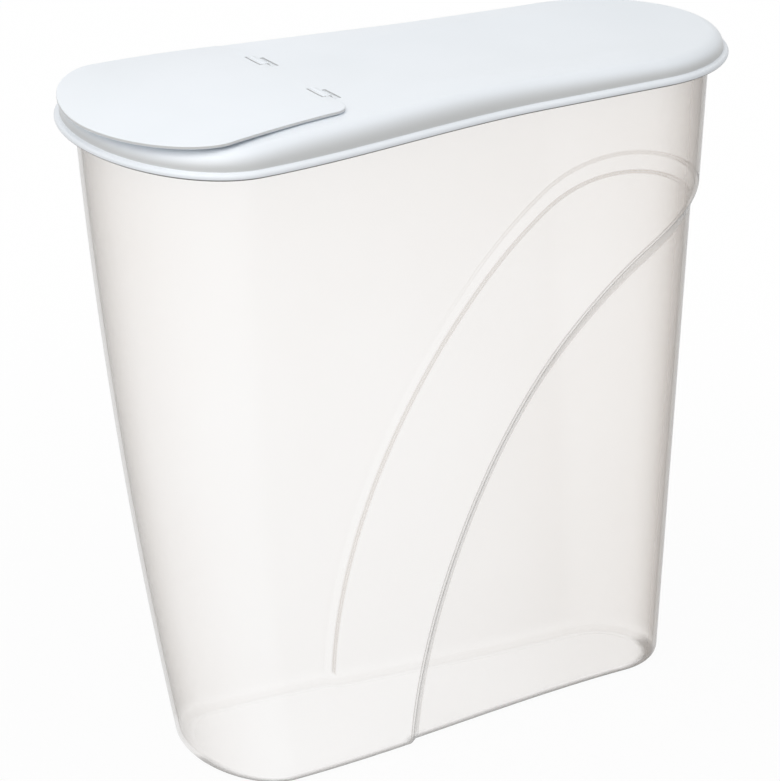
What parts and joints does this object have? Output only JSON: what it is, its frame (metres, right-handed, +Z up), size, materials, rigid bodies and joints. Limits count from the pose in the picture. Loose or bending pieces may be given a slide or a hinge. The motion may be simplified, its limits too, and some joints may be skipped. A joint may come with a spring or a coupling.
{
  "type": "cereal container with flip spout",
  "caption": "Tall translucent cereal keeper with a teardrop plan, recessed swoosh sides, a white push-fit lid and a thin flip-up spout cover",
  "frame": {"origin": "middle of the bottom of the bounding box, on the table under the container", "axes": "+X from the spout to the rear, +Y across the container, +Z up"},
  "size_m": [0.2906, 0.1304, 0.2844],
  "materials": {
    "clear_plastic": "translucent, moulded",
    "white_plastic": "satin, moulded",
    "cover_plastic": "satin, moulded"
  },
  "bodies": {
    "container": {"container_body": "clear_plastic"},
    "lid": {"lid": "white_plastic"},
    "spout_cover": {"spout_cover": "cover_plastic"}
  },
  "joints": [
    {"name": "lid_lift", "type": "slide", "parent": "container", "child": "lid", "axis": [0, 0, 1], "range_m": [0, 0.08]},
    {"name": "cover_hinge", "type": "hinge", "parent": "lid", "child": "spout_cover", "pos_m": [-0.0535, 0, 0.28348], "axis": [0, 1, 0], "range_deg": [0, 170]}
  ]
}
